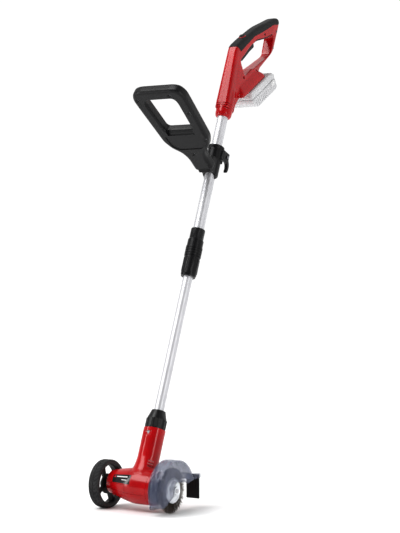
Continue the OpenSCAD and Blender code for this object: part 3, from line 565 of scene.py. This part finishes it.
def bristles(count=1500, seed=7):
    """Crimped wires fanning out from between the plates."""
    rng = random.Random(seed)
    bm = bmesh.new()
    for k in range(count):
        a = 2 * math.pi * (k + rng.uniform(-0.5, 0.5)) / count
        x0 = rng.uniform(72, 79)
        x1 = 75.5 + (x0 - 75.5) * rng.uniform(1.0, 1.65)
        reach = rng.uniform(47.6, 49.8)
        phase = rng.uniform(0, 6.28)
        sweep = rng.uniform(-0.03, 0.03)
        rings = []
        for i in range(9):
            t = i / 8
            r = 25 + (reach - 25) * t
            ang = a + sweep * t + 0.011 * math.sin(phase + 9 * t)
            x = x0 + (x1 - x0) * t + 0.25 * math.cos(phase + 9 * t)
            side = Vector((0, -math.sin(ang), math.cos(ang)))
            centre = Vector((x, r * math.cos(ang), r * math.sin(ang)))
            rings.append([centre + side * 0.2, centre - side * 0.12 + Vector((0.19, 0, 0)),
                          centre - side * 0.12 - Vector((0.19, 0, 0))])
        made = [[bm.verts.new(p) for p in ring] for ring in rings]
        for p, q in zip(made, made[1:]):
            for i in range(3):
                bm.faces.new((p[i], p[(i + 1) % 3], q[(i + 1) % 3], q[i]))
        bm.faces.new(made[0][::-1])
        bm.faces.new(made[-1])
    bmesh.ops.recalc_face_normals(bm, faces=bm.faces)
    return bm


piece("brush_wires", bristles(), HEAD, "brush", "bristle_wire", ("brush_bristles",), sharp=60)


# ------------------------------------------------------------------ wheel
TYRE_R = 53.0


def tyre():
    """Tyre with raised chevron blocks."""
    around, across = 432, 30
    x0, x1 = -107.5, -81.5
    rings = []
    for k in range(around):
        a = 2 * math.pi * k / around
        ring = []
        for i in range(across + 1):
            t = i / across
            x = x0 + (x1 - x0) * t
            shoulder = min(t, 1 - t) * 26
            r = TYRE_R - 2.6 * max(0, 1 - shoulder / 4.2) ** 2
            groove = (k / around * 36 + abs(t - 0.5) * 2.2) % 1.0
            if shoulder > 1.5 and (groove < 0.3 or abs(t - 0.5) < 0.035):
                r -= 1.3
            ring.append((x, r * math.cos(a), r * math.sin(a)))
        wall = [(x1 - 0.2, TYRE_R - 4), (x1 - 1, TYRE_R - 6.4), (x0 + 1, TYRE_R - 6.4),
                (x0 + 0.2, TYRE_R - 4)]
        ring += [(x, r * math.cos(a), r * math.sin(a)) for x, r in wall]
        rings.append(ring)
    return loft(rings + [rings[0]], cap=False)


tyre_mesh = tyre()
bmesh.ops.remove_doubles(tyre_mesh, verts=tyre_mesh.verts, dist=0.001)
piece("wheel_tyre_skin", tyre_mesh, WHEEL, "wheel", "tyre_rubber", ("wheel_tyre",), sharp=50)


# ------------------------------------------------------------------ guard
GUARD_X0, GUARD_X1, GUARD_R, GUARD_T = 57.0, 95.0, 66.5, 2.3
GUARD_HUB = 22                      # radius of the hole round the nose
GUARD_START, GUARD_END = 17.0, 208.0   # angles the band covers
CHEEK_SET = 1.2                     # the cheeks' middle surfaces inside the outer faces
CHEEK_STEPS = 8
BEND_ANGLES = (0.4, 0.8, 1.2)       # points round the bend from cheek to band
CHEEK_CUT = ([(64, 19), (50, 16), (37, 11), (25, 18.6)] + arc(20, 60, 222, 24)
             + [(-23, -21), (-45, -30), (-62, -32)])
INNER_EDGE = [(-62, -33), (-56, -36), (-44, -38), (-6, -37), (30, -22), (52, 4), (64, 19)]


def ray_reach(points, angle, default):
    """How far from the hub a ray at angle meets a line of points."""
    c, s = math.cos(angle), math.sin(angle)
    best = None
    for (y0, z0), (y1, z1) in zip(points, points[1:]):
        dy, dz = y1 - y0, z1 - z0
        det = c * dz - s * dy
        if abs(det) < 1e-9:
            continue
        r = (y0 * dz - z0 * dy) / det
        u = (y0 * s - z0 * c) / det
        if r > 0 and -1e-6 <= u <= 1 + 1e-6:
            best = r if best is None else max(best, r)
    return default if best is None else best


def guard():
    """One clear moulding: inner cheek, stepped band and cut-away outer cheek."""
    bm = bmesh.new()
    steps = 140
    rows = []
    for k in range(steps + 1):
        a = math.radians(GUARD_START + (GUARD_END - GUARD_START) * k / steps)
        r_in = min(ray_reach(CHEEK_CUT, a, 20.0), GUARD_R - 3)
        rim = GUARD_R - GUARD_T / 2
        line = [(GUARD_X0 + CHEEK_SET, GUARD_HUB + (rim - 4 - GUARD_HUB) * i / CHEEK_STEPS)
                for i in range(CHEEK_STEPS + 1)]
        line += [(GUARD_X0 + CHEEK_SET + 4 * (1 - math.cos(b)), rim - 4 + 4 * math.sin(b))
                 for b in BEND_ANGLES]
        for i in range(17):
            x = GUARD_X0 + 5.4 + (GUARD_X1 - GUARD_X0 - 9.4) * i / 16
            step = 1.0 if 3 <= i <= 5 or 9 <= i <= 11 else 0.0
            line.append((x, rim - 0.9 + step))
        line += [(GUARD_X1 - CHEEK_SET - 3 * (1 - math.sin(b)), rim - 3 + 3 * math.cos(b))
                 for b in BEND_ANGLES]
        line += [(GUARD_X1 - CHEEK_SET, rim - 3 + (r_in - rim + 3) * i / CHEEK_STEPS)
                 for i in range(CHEEK_STEPS + 1)]
        rows.append([bm.verts.new((x, r * math.cos(a), r * math.sin(a))) for x, r in line])
    for p, q in zip(rows, rows[1:]):
        for i in range(len(p) - 1):
            bm.faces.new((p[i], p[i + 1], q[i + 1], q[i]))
    # the inner cheek runs on under the nose, without a band
    low_rows = []
    for k in range(61):
        a = math.radians(GUARD_END + (360 + GUARD_START - GUARD_END) * k / 60)
        reach = min(ray_reach(INNER_EDGE, a, GUARD_R - 1), GUARD_R - 1)
        radii = [GUARD_HUB + (reach - GUARD_HUB) * i / CHEEK_STEPS for i in range(CHEEK_STEPS + 1)]
        low_rows.append([bm.verts.new((GUARD_X0 + CHEEK_SET, r * math.cos(a), r * math.sin(a)))
                         for r in radii])
    for p, q in zip(low_rows, low_rows[1:]):
        for i in range(CHEEK_STEPS):
            bm.faces.new((p[i], p[i + 1], q[i + 1], q[i]))
    bmesh.ops.remove_doubles(bm, verts=bm.verts, dist=0.2)
    bmesh.ops.recalc_face_normals(bm, faces=bm.faces)
    obj = to_object("guard_skin", transformed(bm, HEAD))
    dress(obj, "head", "smoke_guard", ("guard",), sharp=40)
    obj.data.materials.append(SMOKE_EDGE)
    mod = obj.modifiers.new("wall", "SOLIDIFY")
    mod.thickness = GUARD_T * MM
    mod.offset = 0
    mod.material_offset_rim = 1
    collar = washer([(22, 42.2), (31, 42.2), (31, 44), (30.4, 56.4), (22, 56.4)])
    arm = prism([(61.4, 18), (88, 18), (91.4, 21), (91.4, 28.4), (86, 29.4), (59, 32)],
                GUARD_X0 + 0.4, GUARD_X1 - 0.4)
    piece("guard_collar", collar, HEAD, "head", "smoke_guard", bevel=0.5)
    piece("guard_arm", arm, HEAD, "head", "smoke_guard", bevel=1.2)


guard()


# ------------------------------------------------------------------ front loop handle
LOOP_HOLES = [(-56, 268), (33, 277), (55, 218), (54, 128), (0, 82)]


def loop_handle():
    plan = [(-24, 24), (-24, 66), (-31, 86), (-50, 104), (-61, 128), (-68, 246), (-69, 270),
            (-61, 288), (-45, 294), (45, 294), (61, 288), (69, 270), (68, 246), (61, 128),
            (50, 104),
            (31, 86), (24, 66), (24, 24)]
    plan = [(x, -s) for x, s in filleted(plan, 9)]
    window = filleted([(-37, 162), (-41, 254), (-36, 266), (36, 266), (41, 254), (37, 162)], 9)
    window = [(x, -s) for x, s in window]
    body = melt("loop_handle", rounded_prism(plan, 12, 7, "XY"), LOOP, 1.3, 5)
    socket = transformed(lathe([(0, -90), (20.6, -90), (20.6, 90), (0, 90)]),
                         Matrix.Rotation(math.radians(15), 4, "X"))
    tools = [(rounded_prism(window, 12.3, 6, "XY", grow=True), LOOP), (socket, LOOP)]
    for x, s in LOOP_HOLES:
        bore = lathe([(0, -30), (3.4, -30), (3.4, -6.4), (0, -6.4)])
        tools.append((transformed(bore, Matrix.Translation((x, -s, 0))), LOOP))
        rim = lathe([(0, -30), (5.2, -30), (5.2, -11.2), (3.2, -9.6), (0, -9.6)])
        tools.append((transformed(rim, Matrix.Translation((x, -s, 0))), LOOP))
    # step in the underside panel, and the cove up to the window's lower edge
    face = filleted([(-44, 112), (-47, 147), (47, 147), (44, 112), (30, 100), (-30, 100)], 6)
    tools.append((prism([(x, -s) for x, s in face], -14, -10.6, "XY"), LOOP))
    cove = transformed(lathe([(0, -36), (9, -36), (9, 36), (0, 36)], "X"),
                       Matrix.Translation((0, -158, -14)))
    tools.append((cove, LOOP))
    cut(body, *tools)
    top, bottom = halves(body, LOOP, (0, 0, 1), 0.12)
    top.name, bottom.name = "loop_shell_top_skin", "loop_shell_bottom_skin"
    dress(top, "loop_handle", "handle_black", ("loop_shell_top",), sharp=32)
    dress(bottom, "loop_handle", "handle_black", ("loop_shell_bottom",), sharp=32)


loop_handle()


def loop_bracket():
    sleeve = lathe([(0, 750), (17.5, 750), (18, 752), (18, 818), (0, 818)])
    collar = lathe([(0, 819), (19.6, 819), (20, 820), (20, 824), (19.6, 825), (0, 825)])
    joined = lathe([(0, 815), (18, 815), (18, 822), (0, 822)])
    saddle = prism([(-6, 750), (-20, 740), (-33, 752), (-36, 770), (-30, 790), (-6, 792)], -13, 13)
    cheeks = [prism([(2, 742), (-8, 738), (-30, 752), (-36, 770), (-24, 790), (4, 790)],
                    s * 13 - 3, s * 13 + 3) for s in (-1, 1)]
    ears = [block((0.5, 10, 793), (8, 28, 817)), block((16.4, 2, 793), (24, 27.5, 817)),
            block((10, 2, 793), (24, 9, 817))]
    body = melt("loop_bracket_skin", join(sleeve, collar, joined, saddle, *cheeks, *ears), TUBE,
                0.9, 4)
    tube_hole = lathe([(0, 700), (12.8, 700), (12.8, 860), (0, 860)])
    arch = lathe([(0, -30), (16, -30), (16, 30), (0, 30)], "X")
    transformed(arch, Matrix.Translation((0, -14, 738)))
    lever_slot = block((8.1, 11.9, 786), (16.3, 40, 831))
    cut(body, (tube_hole, TUBE), (arch, TUBE), (lever_slot, TUBE))
    dress(body, "loop_handle", "black_plastic", ("loop_bracket",), sharp=32)


loop_bracket()


def clamp_lever():
    outline = [(-2, 6), (4, 7.2), (10, 7), (17, 4), (22, -1), (25.5, -7), (27, -14), (26.5, -21),
               (24.5, -27), (22, -29), (19.5, -28), (19, -24), (20, -19), (18.5, -13), (16, -9),
               (11, -6), (5, -5), (-2, -6), (-6, -3), (-6.4, 2)]
    finger = transformed(prism(outline, 8.4, 16), Matrix.Translation((0, 19, 806)))
    body = melt("clamp_lever_skin", finger, TUBE, 0.6, 4)
    hole = lathe([(0, 0), (2.55, 0), (2.55, 30), (0, 30)], "X")
    cut(body, (transformed(hole, Matrix.Translation((0, 19, 806))), TUBE))
    dress(body, "clamp_lever", "black_plastic", ("clamp_lever",), sharp=32)


clamp_lever()


# ------------------------------------------------------------------ red handle
FOOT_IN_TUBE = TUBE.inverted() @ FOOT
FOOT_END = 118
BUTTON = TUBE @ Matrix.Translation((0, 8, 1125)) @ Matrix.Rotation(math.radians(50.5), 4, "X")
HANDLE_OUTLINE = [(-19, 920), (-20, 932), (-24, 1072), (-21.5, 1086), (3, 1119), (50, 1176),
                  (114, 1236), (128, 1244), (137, 1240), (140, 1228), (138, 1153), (93, 1080),
                  (98, 1063), (29.5, 969), (20, 940), (19, 920)]
WINDOW = [(2, 1056), (27, 1032), (33, 1032), (121, 1133), (126, 1143), (124, 1186), (117, 1191),
          (86, 1162), (52, 1137), (33, 1112)]
HANDLE_BOSSES = [(131, 1208), (132, 1162), (76, 1068), (28, 1023), (82, 1172)]
CORNERS = [2, 8, 12, 10, 16, 16, 8, 6, 6, 7, 14, 8, 3, 10, 10, 2]   # reach of each corner's curve
HANDLE_HW, GRIP_HW = 18.0, 14.0     # half widths round the tube and at the grip
WAIST_START, WAIST_LENGTH = 985, 45


def handle_body():
    """The handle's closed skin, before it is split into shells and overmould."""
    outline = filleted(HANDLE_OUTLINE, CORNERS)
    whole = rounded_prism(outline, HANDLE_HW, 8)
    # the sides draw in from the tube socket to the slimmer grip
    for v in whole.verts:
        t = min(1.0, max(0.0, (v.co.z - WAIST_START) / WAIST_LENGTH))
        v.co.x *= 1 + (GRIP_HW / HANDLE_HW - 1) * t * t * (3 - 2 * t)
    round_end = lathe([(0, 902), (15.4, 902), (18.8, 905.5), (19.6, 911), (19.8, 930), (19, 965),
                       (16, 985), (0, 985)])
    foot = transformed(foot_wedge(), FOOT_IN_TUBE)
    ring = to_object("ring", whole)
    cut(ring, (prism(filleted(WINDOW, 7), -40, 40), Matrix.Identity(4)))
    framed = bmesh.new()
    framed.from_mesh(ring.data)
    bpy.data.objects.remove(ring)
    return melt("handle", join(framed, round_end, foot), TUBE, 1.1, 22)


def foot_wedge():
    """The battery shoe: wide at its face, drawn in to the handle above it."""
    rings = []
    for z, half, y0, y1 in ((0, 30, -4, FOOT_END), (4, 30, -4, FOOT_END), (10, 27.5, -2, 117),
                            (17, 22, 3, 113), (24, 17.5, 8, 106), (34, 13, 14, 96)):
        ring = filleted([(-half, y0), (half, y0), (half, y1), (-half, y1)], 7, 5)
        rings.append([(x, y, z) for x, y in ring])
    return loft(rings)


def split_along(bm, matrix, line):
    """Adds edges to a skin where a (y, z) line crosses it, so that faces can be sorted cleanly."""
    for (y0, z0), (y1, z1) in zip(line, line[1:]):
        origin = matrix @ Vector((0, y0, z0))
        along = (matrix.to_3x3() @ Vector((0, y1 - y0, z1 - z0))).normalized()
        across = (matrix.to_3x3() @ Vector((1, 0, 0))).normalized()
        bmesh.ops.bisect_plane(bm, geom=bm.verts[:] + bm.edges[:] + bm.faces[:], dist=1e-7,
                               plane_co=origin, plane_no=along.cross(across))


def inside(point, outline):
    """Even-odd test of a (y, z) point."""
    y, z = point
    hit = False
    for (y0, z0), (y1, z1) in zip(outline, outline[1:] + outline[:1]):
        if (z0 > z) != (z1 > z) and y < (y1 - y0) * (z - z0) / (z1 - z0) + y0:
            hit = not hit
    return hit


SUNK = 0.5              # how deep an overmould reaches into the body under it


def overmould(source, name, outline, thick, slot, stands_for=()):
    """A skin of even thickness over the faces of source that lie inside a (y, z) outline."""
    bm = bmesh.new()
    bm.from_mesh(source.data)
    split_along(bm, TUBE, outline + outline[:1])
    back = TUBE.inverted()
    gone = [f for f in bm.faces
            if not inside((back @ f.calc_center_median()).yz, outline)]
    bmesh.ops.delete(bm, geom=gone, context="FACES")
    obj = to_object(name, bm)
    mod = obj.modifiers.new("skin", "SOLIDIFY")
    mod.thickness = (thick + SUNK) * MM
    mod.offset = 1 - 2 * SUNK / (thick + SUNK)
    bake(obj)
    return dress(obj, "upper_assembly", slot, stands_for, sharp=40)


# the overmould's outline on the grip
GRIP_ZONE = [(-40, 1079), (-36, 1100), (0, 1140), (40, 1190), (112, 1262), (150, 1256),
             (132, 1228), (112, 1216), (84, 1186), (56, 1158), (41, 1144), (26, 1122), (8, 1096),
             (-4, 1077), (-20, 1081)]
# the finger side of the grip, inside the window
FINGER_ZONE = [(6, 1063), (36, 1117), (52, 1140.5), (86, 1165.5), (114, 1191), (116, 1186),
               (86, 1160), (54, 1134), (36, 1108), (12, 1061)]


def trigger_gap():
    return prism([(0, 1066), (16, 1100), (50, 1141), (64, 1128), (40, 1100), (20, 1060)], -7, 7)


def rear_handle():
    body = handle_body()
    tools = [(block((-24, 8, 2.6), (24, 200, 8.4)), FOOT),
             (block((-19, 8, -2), (19, 200, 5)), FOOT),
             (lathe([(0, 850), (12.6, 850), (12.6, 984), (0, 984)]), TUBE)]
    for k in range(3):
        z = 921 + 5.5 * k
        tools.append((washer([(19.1, z), (26, z), (26, z + 1.6), (19.1, z + 1.6)], "Z"), TUBE))
    tools.append((trigger_gap(), TUBE))
    for y, z in HANDLE_BOSSES:
        bore = lathe([(0, 9.4), (3.6, 9.4), (3.6, 40), (0, 40)], "X")
        tools.append((transformed(bore, Matrix.Translation((0, y, z))), TUBE))
    cut(body, *tools)
    grip = overmould(body, "handle_grip_skin", GRIP_ZONE, 0.6, "grip_rubber",
                     stands_for=("handle_grip",))
    overmould(body, "handle_finger_skin", FINGER_ZONE, 0.4, "grip_rubber")
    for skin in (body, grip):
        cut(skin, (lathe([(0, -4), (7.7, -4), (7.7, 12), (0, 12)]), BUTTON))
    right, left = halves(body, TUBE, (1, 0, 0), 0.12)
    right.name, left.name = "handle_shell_right_skin", "handle_shell_left_skin"
    dress(left, "upper_assembly", "red_housing", ("handle_shell_left",), sharp=32)
    dress(right, "upper_assembly", "red_housing", ("handle_shell_right",), sharp=32)
    ring = washer([(7.3, -3), (8.6, -3), (8.6, 1.1), (8.2, 1.4), (7.3, 1.4)], "Z")
    piece("lock_ring", ring, BUTTON, "upper_assembly", "red_housing")


rear_handle()


def trigger():
    outline = filleted([(6, 1067), (13, 1061.5), (20.5, 1065), (32, 1084), (43, 1103), (58, 1124),
                        (53, 1131), (37, 1113), (24.7, 1100), (19.7, 1091), (13.6, 1080)], 3)
    body = melt("trigger_skin", prism(outline, -6.4, 6.4), TUBE, 0.7, 5)
    dress(body, "trigger", "black_plastic", ("trigger",), sharp=32)


trigger()


def lock_button():
    cap = lathe([(0, -6), (7.2, -6), (7.2, 3), (6.6, 4), (5, 4.5), (0, 4.7)], steps=64)
    ribs = [block((-5, 3 * k - 0.45, 4), (5, 3 * k + 0.45, 5.1)) for k in (-1, 0, 1)]
    piece("lock_off_button_skin", join(cap, *ribs), BUTTON, "lock_off_button", "button_black",
          ("lock_off_button",), 0.25)


lock_button()


# ------------------------------------------------------------------ battery
def battery():
    lower = prism([(20.4, -18.2), (147.6, -18.2), (147.6, -39), (142, -44.6), (40, -44.6),
                   (20.4, -29)], -36.6, 36.6)
    case = melt("pack_case_bottom_skin", lower, FOOT, 1.3, 18)
    upper = prism([(20.4, -12), (26, -0.6), (140, -0.6), (147.6, -8), (147.6, -17.8),
                   (20.4, -17.8)], -36.6, 36.6)
    lid = melt("pack_case_top_skin", upper, FOOT, 1.3, 16)
    tongue = join(block((-18.6, 20.4, -3), (18.6, 108, 3.3)),
                  block((-23.6, 20.4, 3), (23.6, 108, 8)))
    slots = [(block((x - 1, 19, 3.3), (x + 1, 32, 7.7)), FOOT) for x in (-10, -3.3, 3.3, 10)]
    rail = to_object("pack_rail", transformed(tongue, FOOT))
    cut(rail, *slots)
    dress(rail, "battery", "pack_grey", bevel=0.4)
    rooms = []
    for s in (-1, 1):
        a, b = sorted((s * 29, s * 42))
        rooms.append(((a, 121.7, -30.3), (b, 138.3, -17.7)))
    for obj in (case, lid):
        cut(obj, *[(block(a, b), FOOT) for a, b in rooms])
    ribs = [(block((a, 34 + 9 * k, -40), (b, 36.4 + 9 * k, -24)), FOOT)
            for k in range(7) for a, b in ((35.4, 40), (-40, -35.4))]
    cut(case, *ribs)
    dress(case, "battery", "pack_grey", ("pack_case_bottom",), sharp=32)
    dress(lid, "battery", "pack_grey", ("pack_case_top",), sharp=32)


battery()


# ------------------------------------------------------------------ stage, light and camera
def stage():
    floor = to_object("floor", prism([(-40, -40), (40, -40), (40, 40), (-40, 40)], -0.1, 0, "XY"))
    mat, nodes, links, bsdf = new_material("floor_pale")
    bsdf.inputs["Base Color"].default_value = (0.90, 0.90, 0.90, 1)
    bsdf.inputs["Roughness"].default_value = 0.95
    bsdf.inputs["Specular IOR Level"].default_value = 0.1
    floor.data.materials.append(mat)
    # bright backdrop behind the object, a darker room on the viewer's side
    world = bpy.data.worlds.new("studio")
    bpy.context.scene.world = world
    world.use_nodes = True
    nodes, links = world.node_tree.nodes, world.node_tree.links
    coord = nodes.new("ShaderNodeTexCoord")
    split = nodes.new("ShaderNodeSeparateXYZ")
    links.new(coord.outputs["Generated"], split.inputs["Vector"])
    blend = nodes.new("ShaderNodeMapRange")
    blend.inputs["From Min"].default_value = -0.5
    blend.inputs["From Max"].default_value = 0.45
    blend.inputs["To Min"].default_value = 0.2
    blend.inputs["To Max"].default_value = 1.02
    links.new(split.outputs["Y"], blend.inputs["Value"])
    links.new(blend.outputs["Result"], nodes["Background"].inputs["Strength"])
    nodes["Background"].inputs["Color"].default_value = (1, 1, 1, 1)


def area_light(name, place, aim, size, power):
    data = bpy.data.lights.new(name, "AREA")
    data.shape = "RECTANGLE"
    data.size, data.size_y = size
    data.energy = power
    lamp = bpy.data.objects.new(name, data)
    bpy.context.scene.collection.objects.link(lamp)
    lamp.location = place
    lamp.rotation_euler = (Vector(aim) - Vector(place)).to_track_quat("-Z", "Y").to_euler()


def soft_sun(place, strength):
    """Even light over the whole floor, with soft shadows."""
    data = bpy.data.lights.new("sun", "SUN")
    data.energy = strength
    data.angle = math.radians(40)
    lamp = bpy.data.objects.new("sun", data)
    bpy.context.scene.collection.objects.link(lamp)
    lamp.rotation_euler = (-Vector(place)).to_track_quat("-Z", "Y").to_euler()


def camera():
    azimuth = math.radians(31.9)
    distance, height, aside = 3.3, 0.533, 0.1489
    data = bpy.data.cameras.new("camera")
    data.lens = 104.6
    data.sensor_width = 36
    cam = bpy.data.objects.new("camera", data)
    bpy.context.scene.collection.objects.link(cam)
    cam.location = (CROSSING.x + aside + distance * math.sin(azimuth),
                    CROSSING.y - distance * math.cos(azimuth), height)
    cam.rotation_euler = (math.pi / 2, 0, azimuth)
    bpy.context.scene.camera = cam


stage()
soft_sun((-0.9, -1.3, 2.4), 2.4)
area_light("left", (-1.9, -1.9, 0.9), (0, 0, 0.6), (0.5, 2.2), 26)
area_light("right", (2.7, -1.0, 1.0), (0, 0, 0.5), (0.5, 2.2), 22)
camera()
bpy.context.scene.view_settings.view_transform = "Standard"
bpy.context.scene.view_settings.gamma = 0.8
